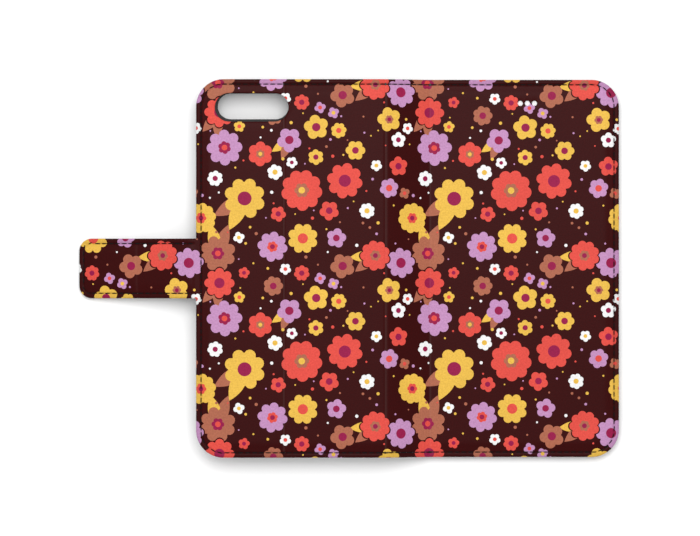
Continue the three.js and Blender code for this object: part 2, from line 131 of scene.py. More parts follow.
# ---------------------------------------------------------------- strips: flat to folded
class Strip:
    """A folded strip of leather seen along the folds: flat u, v and depth to a point in metres."""

    def __init__(self, x, z, heading, folds, side=1, spread=1.6):
        self.x = x
        self.z = z
        self.side = side
        self.spread = spread
        self.first = heading
        self.folds = folds

    def _headings(self):
        angle = self.first
        for at, after in self.folds:
            yield at, angle, after
            angle = after

    def point(self, u, v, depth):
        reach = self.spread
        dx, dz = math.cos(self.first), -math.sin(self.first)
        x, z = u * dx, u * dz
        for at, before, after in self._headings():
            t = u - at
            if t <= -reach:
                continue
            ramp = t if t >= reach else (t + reach) ** 2 / (4 * reach)
            slope = 1.0 if t >= reach else (t + reach) / (2 * reach)
            change_x = math.cos(after) - math.cos(before)
            change_z = -math.sin(after) + math.sin(before)
            x += change_x * ramp
            z += change_z * ramp
            dx += change_x * slope
            dz += change_z * slope
        size = math.hypot(dx, dz)
        x += depth * dz / size
        z -= depth * dx / size
        return Vector(((self.x + self.side * x) * MM, v * MM, (self.z + z) * MM))


case_strip = Strip(LEFT, FACE_Z, 0.0, [(BACK_U, SPINE_SLOPE), (FRONT_U, 0.0)])
strap_strip = Strip(LEFT, FACE_Z, 0.0, [(STRAP_FOLD_U, STRAP_SLOPE)], side=-1)


# ---------------------------------------------------------------- flat shapes
def smooth(low, high, value):
    t = min(max((value - low) / (high - low), 0.0), 1.0)
    return t * t * (3 - 2 * t)


def bell(distance, width):
    return math.exp(-((distance / width) ** 2))


def round_over(distance, radius):
    """How far a rounded edge has dropped at this distance inside the outline."""
    if distance >= radius:
        return 0.0
    side = radius - max(distance, 0.0)
    return radius - math.sqrt(max(radius * radius - side * side, 0.0))


class RoundedRect:
    """A rounded rectangle that can be inset, measured from and walked round."""

    def __init__(self, x0, x1, y0, y1, radius):
        self.x0, self.x1, self.y0, self.y1, self.radius = x0, x1, y0, y1, radius

    def inset(self, d):
        return RoundedRect(
            self.x0 + d, self.x1 - d, self.y0 + d, self.y1 - d, max(self.radius - d, 0.05)
        )

    def distance(self, x, y):
        """Distance to the outline, positive inside."""
        qx = abs(x - (self.x0 + self.x1) / 2) - (self.x1 - self.x0) / 2 + self.radius
        qy = abs(y - (self.y0 + self.y1) / 2) - (self.y1 - self.y0) / 2 + self.radius
        outside = math.hypot(max(qx, 0.0), max(qy, 0.0))
        return self.radius - outside - min(max(qx, qy), 0.0)

    def path(self):
        """The outline as (length, point and heading at a distance along it), anticlockwise."""
        r = self.radius
        wide = self.x1 - self.x0 - 2 * r
        tall = self.y1 - self.y0 - 2 * r
        arc = r * math.pi / 2
        stretches = []
        starts = [
            (self.x0 + r, self.y0, 0.0, wide, self.x1 - r, self.y0 + r),
            (self.x1, self.y0 + r, math.pi / 2, tall, self.x1 - r, self.y1 - r),
            (self.x1 - r, self.y1, math.pi, wide, self.x0 + r, self.y1 - r),
            (self.x0, self.y1 - r, 1.5 * math.pi, tall, self.x0 + r, self.y0 + r),
        ]
        for x, y, heading, length, cx, cy in starts:
            stretches.append(("line", x, y, heading, length))
            stretches.append(("arc", cx, cy, heading, arc))
        total = sum(item[4] for item in stretches)

        def at(s):
            s = s % total
            for kind, x, y, heading, length in stretches:
                if s <= length or (kind, x, y) == stretches[-1][:3]:
                    break
                s -= length
            if kind == "line":
                return x + s * math.cos(heading), y + s * math.sin(heading), heading
            turn = heading + s / r
            return x + r * math.sin(turn), y - r * math.cos(turn), turn

        return total, at, stretches

    def loop(self, spacing, arc_steps=None):
        _, at, stretches = self.path()
        points = []
        s = 0.0
        for kind, _, _, _, length in stretches:
            step = min(spacing, 0.9) if kind == "arc" else spacing
            count = max(int(math.ceil(length / step)), 1 if kind == "line" else 4)
            if kind == "arc" and arc_steps:
                count = arc_steps
            for i in range(count):
                points.append(at(s + length * i / count)[:2])
            s += length
        return points


def circle(x, y, radius, count=16):
    return [
        (x + radius * math.cos(a), y + radius * math.sin(a))
        for a in (2 * math.pi * i / count for i in range(count))
    ]


case_outline = RoundedRect(0.0, WIDTH, -HALF, HALF, CORNER)
strap_outline = RoundedRect(-STRAP_HIDDEN, STRAP_END_U, -STRAP_HALF, STRAP_HALF, STRAP_CORNER)
pill = RoundedRect(
    CAMERA["x0"], CAMERA["x1"], CAMERA["y0"], CAMERA["y1"], (CAMERA["y1"] - CAMERA["y0"]) / 2
)

# ---------------------------------------------------------------- the flower print
SRGB = {
    "ground": (64, 19, 20),
    "coral": (236, 88, 78),
    "yellow": (245, 197, 86),
    "lilac": (205, 152, 198),
    "brown": (184, 112, 88),
    "burgundy": (160, 40, 82),
    "white": (255, 255, 255),
}


def linear(rgb):
    values = []
    for value in rgb:
        c = value / 255
        values.append(c / 12.92 if c <= 0.04045 else ((c + 0.055) / 1.055) ** 2.4)
    return (*values, 1.0)


# The inks' own colours, allowing for the studio light's brightness and the finish's sheen
BRIGHTNESS = 1.35
SHEEN = 0.0082
INK = {
    name: (*[max(value - SHEEN, 0.0008) / BRIGHTNESS for value in linear(rgb)[:3]], 1.0)
    for name, rgb in SRGB.items()
}
TILE_W = 93.0
TILE_H = 74.4
HALO = 0.6

# A petal count's shape: petal centre and petal radius as shares of the flower's radius
PETAL = {4: (0.52, 0.48), 5: (0.57, 0.43), 6: (0.60, 0.40), 7: (0.64, 0.36)}
ROSETTE = (0.70, 0.30)


def flower(x, y, radius, petals, turn):
    centre, petal = PETAL.get(petals, ROSETTE)
    per_petal = 8 if petals < 8 else 6
    points = []
    for i in range(petals * per_petal):
        phi = ((i % per_petal) / per_petal - 0.5) * 2 * math.pi / petals
        reach = centre * math.cos(phi) + math.sqrt(max(petal ** 2 - (centre * math.sin(phi)) ** 2, 0))
        angle = turn + 2 * math.pi * (i / per_petal) / petals
        points.append((x + radius * reach * math.cos(angle), y + radius * reach * math.sin(angle)))
    return points


def leaf(x, y, length, turn):
    points = []
    steps = 9
    for side in (-1, 1):
        for i in range(steps):
            t = i / steps if side < 0 else 1 - i / steps
            along = t * length
            across = side * 0.21 * length * math.sin(math.pi * t ** 0.85) ** 0.9
            points.append((
                x + along * math.cos(turn) - across * math.sin(turn),
                y + along * math.sin(turn) + across * math.cos(turn),
            ))
    return points


# Radius in mm and how many of that size a tile holds, the largest first
FLOWER_SIZES = ((9.0, 2), (7.8, 3), (6.6, 6), (5.4, 5), (4.3, 6), (3.4, 8), (2.5, 10))
PETAL_INKS = ("coral", "yellow", "lilac", "coral", "brown", "yellow", "lilac")
CENTRE_INKS = ("burgundy", "yellow", "burgundy", "coral")
INNER_INKS = ("brown", "coral", "burgundy")
LEAF_INKS = ("yellow", "brown")
LARGE = 5.0
SMALL = 4.0
OVERLAP = 0.87
CLEARANCE = 0.7
LEAF_REACH = 1.7
LEAF_SPREAD = 0.3
TRIES = 4000
PRINT_SEED = 11
TILES = 6
DOTS_PER_TILE = 60
DOT_RADII = (0.36, 0.45, 0.6, 0.72)
DOT_INKS = ("coral", "yellow", "lilac", "brown", "white", "yellow")
DOT_SPACING = 1.6
HEART = 0.34
INNER_FLOWER = 0.36
INNER_HEART = 0.16


def tile_gap(x, y, other_x, other_y):
    """The distance between two points of the repeating tile, the shorter way round."""
    across = (x - other_x + TILE_W / 2) % TILE_W - TILE_W / 2
    up = (y - other_y + TILE_H / 2) % TILE_H - TILE_H / 2
    return math.hypot(across, up)


def free_spot(draw, taken, radius, overlap, clearance):
    """A random place in the tile that is clear of everything taken, or None."""
    for _ in range(TRIES):
        x, y = draw.uniform(0, TILE_W), draw.uniform(0, TILE_H)
        if all(tile_gap(x, y, fx, fy) > overlap * (reach + radius) + clearance for fx, fy, reach in taken):
            return x, y
    return None


def petal_count(draw, radius):
    """More petals on a larger flower."""
    counts = (4, 5)
    if radius > SMALL - 1:
        counts = (5, 6, 7)
    if radius > LARGE + 1:
        counts = (8, 9, 10)
    return draw.choice(counts)


def print_layers():
    """The motifs of one tile, scattered at random, from the lowest layer up, as (outline, ink)."""
    draw = random.Random(PRINT_SEED)
    taken = []
    leaves = []
    blooms = []
    for radius in [size for size, count in FLOWER_SIZES for _ in range(count)]:
        large = radius > LARGE
        spot = free_spot(draw, taken, radius, OVERLAP if large else 1.0, 0.0 if large else CLEARANCE)
        if spot is None:
            continue
        x, y = spot
        number = len(taken)
        angle = draw.uniform(0, 2 * math.pi)
        petals = petal_count(draw, radius)
        ink = "white" if radius < SMALL and number % 2 else PETAL_INKS[number % len(PETAL_INKS)]
        centre = draw.choice([choice for choice in CENTRE_INKS if choice != ink])
        inner = draw.choice([choice for choice in INNER_INKS if choice not in (ink, centre)])
        if large and any(tile_gap(x, y, fx, fy) < reach + radius + HALO for fx, fy, reach in taken):
            blooms.append((flower(x, y, radius + HALO, petals, angle), "ground"))
        blooms.append((flower(x, y, radius, petals, angle), ink))
        framed = large and number % 2 == 0
        if framed:
            blooms.append((flower(x, y, radius * INNER_FLOWER, 6, angle), inner))
        blooms.append((circle(x, y, radius * (INNER_HEART if framed else HEART), 18), centre))
        if large and number % 3 == 1:
            for side in (-1, 1):
                turn = angle + side * LEAF_SPREAD
                leaves.append((leaf(x, y, radius * LEAF_REACH, turn), draw.choice(LEAF_INKS)))
        taken.append((x, y, radius))
    dots = []
    while len(dots) < DOTS_PER_TILE:
        radius = draw.choice(DOT_RADII)
        spot = free_spot(draw, taken, radius, 1.0, CLEARANCE)
        if spot is None:
            break
        taken.append((*spot, radius + DOT_SPACING))
        dots.append((circle(*spot, radius, 10), draw.choice(DOT_INKS)))
    return leaves + dots + blooms


TILE_LAYERS = print_layers()


def tile_offsets(low, high, start, end, first, size):
    """Where copies of a stretch low to high of the repeat touch a window from start to end."""
    step = math.floor((start - first - high) / size)
    offsets = [first + i * size for i in range(step, TILES)]
    return [d for d in offsets if low + d <= end and high + d >= start]


def print_over(window, origin):
    """The print's outlines that touch a window (x0, x1, y0, y1), lowest first."""
    found = []
    for outline, ink in TILE_LAYERS:
        xs, ys = zip(*outline)
        for dx in tile_offsets(min(xs), max(xs), *window[:2], origin[0], TILE_W):
            for dy in tile_offsets(min(ys), max(ys), *window[2:], origin[1], TILE_H):
                found.append(([(x + dx, y + dy) for x, y in outline], ink))
    return found


# ---------------------------------------------------------------- sheets
def sheet_mesh(name, strip, window, keep, drop=(), rings=(), lines=(), prints=(), grid=3.0,
               top=None, bottom=None, wear_and_shade=None):
    """A closed sheet cut from flat shapes: inside keep and the window, outside drop, its print
    inlaid in its triangles, its faces at the depths that top and bottom give."""
    x0, x1, y0, y1 = window
    points = []
    polygons = []
    edges = []

    def add(outline):
        start = len(points)
        points.extend(Vector(p) for p in outline)
        polygons.append(list(range(start, len(points))))
        return len(polygons) - 1

    window_id = add([(x0, y0), (x1, y0), (x1, y1), (x0, y1)])
    keep_id = add(keep)
    drop_ids = {add(outline) for outline in drop}
    for ring in rings:
        add(ring)
    print_ids = {}
    for outline, ink in prints:
        print_ids[add(outline)] = ink
    for x in lines:
        edges.append((len(points), len(points) + 1))
        points.extend([Vector((x, y0)), Vector((x, y1))])
    columns = int((x1 - x0) / grid)
    rows = int((y1 - y0) / grid)
    for i in range(1, columns):
        for j in range(1, rows):
            x = x0 + (x1 - x0) * (i + 0.25 * (j % 2)) / columns
            points.append(Vector((x, y0 + (y1 - y0) * j / rows)))
    flat, _, triangles, _, _, owners = delaunay_2d_cdt(points, edges, polygons, 1, 1e-5, True)

    faces = []
    inks = []
    for triangle, owner in zip(triangles, owners):
        own = set(owner)
        if window_id not in own or keep_id not in own or own & drop_ids:
            continue
        shown = [i for i in own if i in print_ids]
        faces.append(tuple(triangle))
        inks.append(INK[print_ids[max(shown)]] if shown else INK["ground"])
    used = sorted({i for face in faces for i in face})
    index = {old: new for new, old in enumerate(used)}
    uv = [(flat[i].x, flat[i].y) for i in used]
    faces = [tuple(index[i] for i in face) for face in faces]
    count = len(uv)

    coords = [strip.point(u, v, top(u, v)) for u, v in uv]
    coords += [strip.point(u, v, bottom(u, v)) for u, v in uv]
    sided = {}
    for number, face in enumerate(faces):
        for a, b in zip(face, face[1:] + face[:1]):
            sided[(a, b)] = number
    all_faces = list(faces)
    colours = list(inks)
    for face, ink in zip(faces, inks):
        all_faces.append(tuple(i + count for i in reversed(face)))
        colours.append(ink)
    for (a, b), number in sided.items():
        if (b, a) not in sided:
            all_faces.append((b, a, a + count, b + count))
            colours.append(inks[number])
    if strip.side < 0:
        all_faces = [tuple(reversed(face)) for face in all_faces]

    mesh = bpy.data.meshes.new(name)
    mesh.from_pydata(coords, [], all_faces)
    mesh.update()
    flat_uv = uv + uv
    corner_uv = []
    corner_ink = []
    for polygon in mesh.polygons:
        for vertex in polygon.vertices:
            corner_uv.extend((flat_uv[vertex][0] / 100, flat_uv[vertex][1] / 100))
            corner_ink.extend(colours[polygon.index])
    mesh.uv_layers.new(name="flat")
    mesh.attributes.new("print", "FLOAT_COLOR", "CORNER")
    mesh.attributes.new("wear_and_shade", "FLOAT", "POINT")
    mesh.uv_layers["flat"].data.foreach_set("uv", corner_uv)
    mesh.attributes["print"].data.foreach_set("color", corner_ink)
    if wear_and_shade is not None:
        mesh.attributes["wear_and_shade"].data.foreach_set("value", [wear_and_shade(u, v) for u, v in flat_uv])
    mesh.polygons.foreach_set("use_smooth", [True] * len(all_faces))
    mesh.set_sharp_from_angle(angle=math.radians(48))
    obj = bpy.data.objects.new(name, mesh)
    bpy.context.scene.collection.objects.link(obj)
    return obj


# ---------------------------------------------------------------- materials
def new_material(name):
    material = bpy.data.materials.new(name)
    material.use_nodes = True
    nodes = material.node_tree.nodes
    links = material.node_tree.links
    return material, nodes, links, nodes["Principled BSDF"]


def node(nodes, kind, **values):
    made = nodes.new(kind)
    for key, value in values.items():
        if key in made.inputs:
            made.inputs[key].default_value = value
        else:
            setattr(made, key, value)
    return made


def mapped(nodes, links, source, low, high, from_low=0.0, from_high=1.0):
    spread = node(nodes, "ShaderNodeMapRange")
    spread.inputs["From Min"].default_value = from_low
    spread.inputs["From Max"].default_value = from_high
    spread.inputs["To Min"].default_value = low
    spread.inputs["To Max"].default_value = high
    links.new(source, spread.inputs["Value"])
    return spread.outputs["Result"]


def tinted(nodes, links, colour, factor):
    """A colour multiplied by a grey factor."""
    mix = nodes.new("ShaderNodeMix")
    mix.data_type = "RGBA"
    mix.blend_type = "MULTIPLY"
    mix.inputs[0].default_value = 1.0
    if isinstance(colour, tuple):
        mix.inputs[6].default_value = colour
    else:
        links.new(colour, mix.inputs[6])
    links.new(factor, mix.inputs[7])
    return mix.outputs[2]


def grain_bump(nodes, links, vector, cell, strength, height):
    """Leather grain: rounded cells with a finer noise, as a bump. cell is its size in mm."""
    cells = node(nodes, "ShaderNodeTexVoronoi", Scale=100 / cell)
    cells.feature = "SMOOTH_F1"
    cells.inputs["Smoothness"].default_value = 0.6
    fine = node(nodes, "ShaderNodeTexNoise", Scale=220 / cell, Detail=3.0, Roughness=0.6)
    links.new(vector, cells.inputs["Vector"])
    links.new(vector, fine.inputs["Vector"])
    both = node(nodes, "ShaderNodeMath", operation="MULTIPLY_ADD")
    links.new(fine.outputs["Fac"], both.inputs[0])
    both.inputs[1].default_value = 0.5
    links.new(cells.outputs["Distance"], both.inputs[2])
    bump = node(nodes, "ShaderNodeBump", Strength=strength, Distance=height * MM)
    links.new(both.outputs[0], bump.inputs["Height"])
    return bump.outputs["Normal"], fine.outputs["Fac"]


def printed_leather():
    """Printed PU leather. An attribute gives 1 where a fold is rubbed and -1 on the pressed margin from the
    seam out to the edge, which is painted darker both as burnished leather and as painted shade of that
    recessed band.
    """
    material, nodes, links, shader = new_material("printed_leather")
    flat = node(nodes, "ShaderNodeUVMap", uv_map="flat")
    ink = node(nodes, "ShaderNodeAttribute", attribute_name="print")
    wear_and_shade = node(nodes, "ShaderNodeAttribute", attribute_name="wear_and_shade")
    normal, fine = grain_bump(nodes, links, flat.outputs["UV"], 0.55, 0.35, 0.05)
    links.new(normal, shader.inputs["Normal"])
    speckle = node(nodes, "ShaderNodeTexNoise", Scale=130.0, Detail=3.0, Roughness=0.75)
    links.new(flat.outputs["UV"], speckle.inputs["Vector"])
    broad = node(nodes, "ShaderNodeTexNoise", Scale=5.0, Detail=3.0)
    links.new(flat.outputs["UV"], broad.inputs["Vector"])
    factors = (
        mapped(nodes, links, speckle.outputs["Fac"], 0.80, 1.14, 0.3, 0.7),
        mapped(nodes, links, broad.outputs["Fac"], 0.96, 1.04, 0.3, 0.7),
        # Painted shade: the pressed margin between the seam and the edge darkens to 0.88, as burnished
        # leather and as the shade of that recessed band
        mapped(nodes, links, wear_and_shade.outputs["Fac"], 0.88, 1.0, -1.0, 0.0),
    )
    toned = ink.outputs["Color"]
    for factor in factors:
        toned = tinted(nodes, links, toned, factor)
    rubbed = nodes.new("ShaderNodeMix")
    rubbed.data_type = "RGBA"
    links.new(mapped(nodes, links, wear_and_shade.outputs["Fac"], 0.0, 0.05), rubbed.inputs[0])
    links.new(toned, rubbed.inputs[6])
    rubbed.inputs[7].default_value = (0.45, 0.36, 0.33, 1.0)
    links.new(rubbed.outputs[2], shader.inputs["Base Color"])
    links.new(mapped(nodes, links, fine, 0.36, 0.50, 0.3, 0.7), shader.inputs["Roughness"])
    shader.inputs["Specular IOR Level"].default_value = 0.07
    return material


def plain_leather(name, colour, cell=0.8, strength=0.45):
    material, nodes, links, shader = new_material(name)
    flat = node(nodes, "ShaderNodeUVMap", uv_map="flat")
    normal, fine = grain_bump(nodes, links, flat.outputs["UV"], cell, strength, 0.07)
    links.new(normal, shader.inputs["Normal"])
    broad = node(nodes, "ShaderNodeTexNoise", Scale=9.0, Detail=4.0)
    links.new(flat.outputs["UV"], broad.inputs["Vector"])
    factor = mapped(nodes, links, broad.outputs["Fac"], 0.8, 1.25, 0.3, 0.7)
    links.new(tinted(nodes, links, colour, factor), shader.inputs["Base Color"])
    links.new(mapped(nodes, links, fine, 0.5, 0.68, 0.3, 0.7), shader.inputs["Roughness"])
    return material


def solid_material(name, colour, roughness, size, bump=0.2, metallic=0.0, spread=0.15,
                   stretch=(1, 1, 1), specular=0.5):
    """A plain material with a procedural mottle and bump of a size in mm, in object space."""
    material, nodes, links, shader = new_material(name)
    place = node(nodes, "ShaderNodeTexCoord")
    scale = node(nodes, "ShaderNodeMapping")
    scale.inputs["Scale"].default_value = [1000 / size * s for s in stretch]
    links.new(place.outputs["Object"], scale.inputs["Vector"])
    noise = node(nodes, "ShaderNodeTexNoise", Scale=1.0, Detail=4.0, Roughness=0.6)
    links.new(scale.outputs["Vector"], noise.inputs["Vector"])
    factor = mapped(nodes, links, noise.outputs["Fac"], 1 - spread, 1 + spread, 0.3, 0.7)
    links.new(tinted(nodes, links, colour, factor), shader.inputs["Base Color"])
    rough = mapped(nodes, links, noise.outputs["Fac"], roughness - 0.07, roughness + 0.07, 0.3, 0.7)
    links.new(rough, shader.inputs["Roughness"])
    shader.inputs["Metallic"].default_value = metallic
    shader.inputs["Specular IOR Level"].default_value = specular
    raised = node(nodes, "ShaderNodeBump", Strength=bump, Distance=0.05 * MM)
    links.new(noise.outputs["Fac"], raised.inputs["Height"])
    links.new(raised.outputs["Normal"], shader.inputs["Normal"])
    return material


def woven(name, colour, pitch):
    """A plain weave of threads, pitch mm apart."""
    material, nodes, links, shader = new_material(name)
    flat = node(nodes, "ShaderNodeUVMap", uv_map="flat")
    waves = []
    for direction in ("X", "Y"):
        wave = node(nodes, "ShaderNodeTexWave", Scale=100 / pitch * 0.159, Distortion=0.0)
        wave.bands_direction = direction
        links.new(flat.outputs["UV"], wave.inputs["Vector"])
        waves.append(wave.outputs["Fac"])
    weave = node(nodes, "ShaderNodeMath", operation="MAXIMUM")
    links.new(waves[0], weave.inputs[0])
    links.new(waves[1], weave.inputs[1])
    factor = mapped(nodes, links, weave.outputs[0], 0.6, 1.0)
    links.new(tinted(nodes, links, colour, factor), shader.inputs["Base Color"])
    bump = node(nodes, "ShaderNodeBump", Strength=0.6, Distance=0.05 * MM)
    links.new(weave.outputs[0], bump.inputs["Height"])
    links.new(bump.outputs["Normal"], shader.inputs["Normal"])
    shader.inputs["Roughness"].default_value = 0.7
    return material


PRINTED = printed_leather()
SCREEN = woven("screen_mesh", linear((250, 250, 250)), 0.35)
LINING = plain_leather("lining_leather", linear((38, 33, 33)))
THREAD = solid_material("thread", linear((14, 9, 9)), 0.8, 0.25, 0.8, specular=0.15)
RUBBER = solid_material("tray_rubber", linear((15, 15, 16)), 0.48, 0.3, 0.25, specular=0.25)
GREYBOARD = solid_material("greyboard", linear((141, 137, 128)), 0.9, 0.6, 0.6, spread=0.3)
STIFFENER = solid_material("stiffener", linear((214, 212, 205)), 0.55, 1.0, 0.1)
ADHESIVE = solid_material("adhesive", linear((228, 226, 218)), 0.8, 0.5, 0.5)
STEEL = solid_material(
    "magnet_steel", linear((176, 178, 181)), 0.32, 0.3, 0.15, metallic=1.0, stretch=(0.05, 1, 1)
)

# ---------------------------------------------------------------- relief of the leather
CROWN = 0.5
STRAP_CROWN = 0.42
CROWN_FROM = 2.7
CROWN_TO = 6.5
EDGE_RADIUS = 1.0
GROOVE = 0.28
SEAM_SPREAD = 0.42
HOLE_DEPTH = 0.3
HOLE_REACH = 1.4
CREASE, CREASE_SPREAD = 0.22, 0.55
FOLD_DIP, FOLD_DIP_SPREAD = 0.16, 2.6
FOLDS = (STAND_U, BACK_U, FRONT_U)


def seam_holes(outline, pitch, keep):
    """Needle holes round the seam, as (x, y, heading), evenly spaced."""
    total, at, _ = outline.inset(SEAM_INSET).path()
    count = round(total / pitch)
    holes = [at(total * i / count) for i in range(count)]
    return [hole for hole in holes if keep(hole[0])], total / count


def hole_tree(holes):
    tree = KDTree(len(holes))
    for i, (x, y, _) in enumerate(holes):
        tree.insert((x, y, 0.0), i)
    tree.balance()
    return tree


case_holes, case_pitch = seam_holes(case_outline, STITCH_PITCH, lambda x: True)
strap_holes, strap_pitch = seam_holes(strap_outline, STITCH_PITCH, lambda x: x > STRAP_HOLES_FROM)
case_tree = hole_tree(case_holes)
strap_tree = hole_tree(strap_holes)
ear_centres = [(EAR_U + step * EAR_PITCH, EAR_V) for step in (-1, 0, 1)]


def seam_relief(distance, x, y, tree, crown):
    """How deep the face lies under its level at a distance inside the outline."""
    depth = crown * (1 - smooth(CROWN_FROM, CROWN_TO, distance))
    depth += GROOVE * bell(distance - SEAM_INSET, SEAM_SPREAD)
    if abs(distance - SEAM_INSET) < HOLE_REACH:
        depth += HOLE_DEPTH * bell(tree.find((x, y, 0.0))[2], SEAM_SPREAD)
    return depth


def case_top(x, y):
    distance = case_outline.distance(x, y)
    depth = round_over(distance, EDGE_RADIUS) + seam_relief(distance, x, y, case_tree, CROWN)
    for at in FOLDS:
        depth += CREASE * bell(x - at, CREASE_SPREAD)
    for at in (BACK_U, FRONT_U):
        depth += FOLD_DIP * bell(x - at, FOLD_DIP_SPREAD)
    to_pill = -pill.distance(x, y)
    if to_pill < 6:
        depth += round_over(to_pill, 0.5) + 0.25 * bell(to_pill, 1.4)
    for cx, cy in ear_centres:
        to_hole = math.hypot(x - cx, y - cy) - EAR_RADIUS
        if to_hole < 2:
            depth += round_over(to_hole, 0.3) + 0.1 * bell(to_hole, 0.5)
    return depth


def case_bottom(x, y):
    inner = smooth(HEM_WIDTH - 0.15, HEM_WIDTH + 0.15, case_outline.distance(x, y))
    thin = max(1 - smooth(1.7, 2.3, abs(x - at)) for at in FOLDS)
    spine = 1.0 if BACK_U < x < FRONT_U else 0.0
    thickness = SKIN_THICKNESS + (HEM_DEPTH - SKIN_THICKNESS) * (1 - max(inner, thin, spine))
    return max(thickness, case_top(x, y) + 0.25)


def case_wear_and_shade(x, y):
    # The margin from the seam out to the edge is pressed: burnished, and painted darker as the shade of that
    # recessed band. The folds are rubbed lighter.
    pressed_and_shaded = 1 - smooth(SEAM_INSET, SEAM_INSET + 0.8, case_outline.distance(x, y))
    return 0.6 * max(bell(x - at, 0.4) for at in FOLDS) - pressed_and_shaded


def past_junction(x):
    """0 where the strap is one with the back's edge, 1 where it is a strap of its own."""
    return smooth(-0.2, 2.4, x)


def strap_top(x, y):
    """The strap's face runs on from the back's edge at the seam, at x = -SEAM_INSET."""
    distance = strap_outline.distance(x, y)
    own = round_over(distance, EDGE_RADIUS) + seam_relief(distance, x, y, strap_tree, STRAP_CROWN)
    shared = CROWN + GROOVE * bell(x + SEAM_INSET, SEAM_SPREAD)
    if x < 0:
        shared += HOLE_DEPTH * bell(case_tree.find((-x, y, 0.0))[2], SEAM_SPREAD)
    share = past_junction(x)
    return own * share + shared * (1 - share) + 0.07 * bell(x - STRAP_TIP_U, 0.6)


def strap_bottom(x, y):
    inner = smooth(HEM_WIDTH - 0.15, HEM_WIDTH + 0.15, strap_outline.distance(x, y))
    thin = 1 - smooth(2.4, 3.0, abs(x - STRAP_TIP_U))
    root = 1 - smooth(STRAP_FOLD_U + 0.6, STRAP_FOLD_U + 1.2, x)
    thickness = SKIN_THICKNESS + (STRAP_HEM - SKIN_THICKNESS) * (1 - max(inner, thin, root))
    return max(thickness, strap_top(x, y) + 0.3)


def strap_wear_and_shade(x, y):
    # The strap's margin out to its edge is pressed: burnished, and painted darker as the shade of that
    # recessed band, up to the junction. The tip's fold is rubbed lighter.
    pressed_and_shaded = 1 - smooth(SEAM_INSET, SEAM_INSET + 0.8, strap_outline.distance(x, y))
    return 0.2 * bell(x - STRAP_TIP_U, 0.5) - pressed_and_shaded * past_junction(x)


# The lining lies deep under the boards and thin where there are none: at the folds and the spine.
def case_lining_top(x, y):
    beside = smooth(0.5, 1.25, abs(x - STAND_U))
    outside = smooth(1.2, 2.0, max(BACK_U - x, x - FRONT_U))
    return THIN_LINING_TOP + (LINING_TOP - THIN_LINING_TOP) * min(beside, outside)


def strap_lining_top(x, y):
    past_root = smooth(0.5, 1.15, x - STRAP_FOLD_U)
    wrap = smooth(2.0, 2.7, STRAP_TIP_U - x) if x < STRAP_TIP_U else smooth(0.4, 1.1, x - STRAP_TIP_U)
    return THIN_LINING_TOP + (STRAP_LINING_TOP - THIN_LINING_TOP) * min(past_root, wrap)


def lining_shape(outline, lining_top):
    """The top and bottom of a lining, which is smaller than its outline all round."""

    def bottom(x, y):
        distance = outline.distance(x, y)
        rounded = round_over(distance - LINING_INSET, 0.4)
        return lining_top(x, y) + LINING_THICKNESS - 0.7 * rounded - 0.12 * bell(distance - SEAM_INSET, 0.5)

    return lining_top, bottom


case_shape = (case_top, case_bottom, case_wear_and_shade)
strap_shape = (strap_top, strap_bottom, strap_wear_and_shade)
case_lining = lining_shape(case_outline, case_lining_top)
strap_lining = lining_shape(strap_outline, strap_lining_top)

# ---------------------------------------------------------------- printed skin and lining
RING_INSETS = (0.06, 0.2, 0.45, 0.75, 1.05, 1.45, 1.8, 2.0, 2.2, 2.4, 2.65, 3.0, 3.4, 3.8, 4.6, 5.5, 6.6)
FINE_RINGS = (1.8, 2.0, 2.2, 2.4, 2.65)
LINING_RINGS = (0.95, 1.0, 1.1, 1.3, 1.6, 1.9, 2.2, 2.5, 2.9)
FOLD_LINES = (-2.4, -1.8, -1.2, -0.8, -0.4, 0.0, 0.4, 0.8, 1.2, 1.8, 2.4)
JUNCTION_LINES = (-1.9, -1.6, -1.2, -0.8, -0.4, 0.0, 0.4, 0.8, 1.2, 1.6)


def rings_of(outline, insets):
    return [outline.inset(d).loop(0.75 if d in FINE_RINGS else 2.2) for d in insets]


def mirrored(prints):
    return [([(-x, y) for x, y in reversed(outline)], ink) for outline, ink in prints]


def bend(piece, strip, joined):
    body_a, body_b, at = joined
    start = strip.point(at - BLEND_REACH, 0, 0)
    end = strip.point(at + BLEND_REACH, 0, 0)
    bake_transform(piece)


def finish_piece(piece, material, nodes_for):
    piece.data.materials.append(material)
    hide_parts(*nodes_for)


def leaf_lines(folds, x0, x1):
    return [at + step for at in folds for step in FOLD_LINES if x0 < at + step < x1]


PRINT_ORIGIN = (4.0, -82.0)
MID_BACK = (STAND_U + BACK_U) / 2
MID_SPINE = (BACK_U + FRONT_U) / 2
MID_STRAP = (STRAP_FOLD_U + STRAP_TIP_U) / 2
BEYOND = 1.0
pill_rings = [pill.inset(-d).loop(1.2) for d in (0.08, 0.25, 0.5, 0.9, 1.5, 2.4)]
ear_rings = [circle(x, y, EAR_RADIUS + d, 24) for x, y in ear_centres for d in (0.08, 0.2, 0.34)]
ear_holes = [circle(x, y, EAR_RADIUS, 24) for x, y in ear_centres]
# Where the strap runs on into the back, up to the seam, the strap's piece carries the print.
junction = RoundedRect(-2.0, SEAM_INSET, -STRAP_HALF, STRAP_HALF, 0.05)

